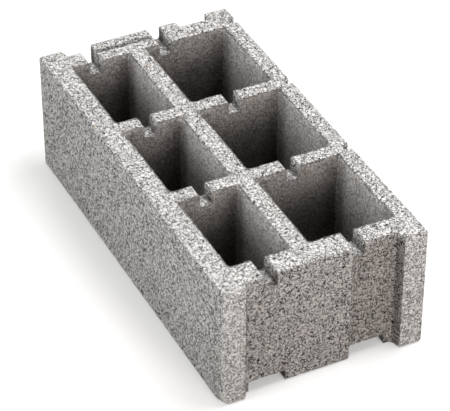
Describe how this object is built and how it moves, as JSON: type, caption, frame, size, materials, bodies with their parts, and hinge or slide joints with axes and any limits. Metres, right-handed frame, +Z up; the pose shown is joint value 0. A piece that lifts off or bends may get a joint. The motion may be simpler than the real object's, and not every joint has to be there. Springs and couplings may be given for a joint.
{
  "type": "concrete block",
  "caption": "Hollow concrete formwork block with rows of through cells, bar slots in the tops of its webs, flow notches beneath them and eared ends that lock to the next block",
  "frame": {"origin": "centre of the rectangle the block covers on the floor, at floor height", "axes": "+Z up, Y along the block's length with the near eared end at -Y, X across its width with the narrow row of cells and the plain long face at -X"},
  "size_m": [0.3, 0.6, 0.19],
  "materials": {
    "concrete": "matt open-textured cast concrete"
  },
  "bodies": {
    "root": {"concrete_block": "concrete"}
  },
  "joints": []
}
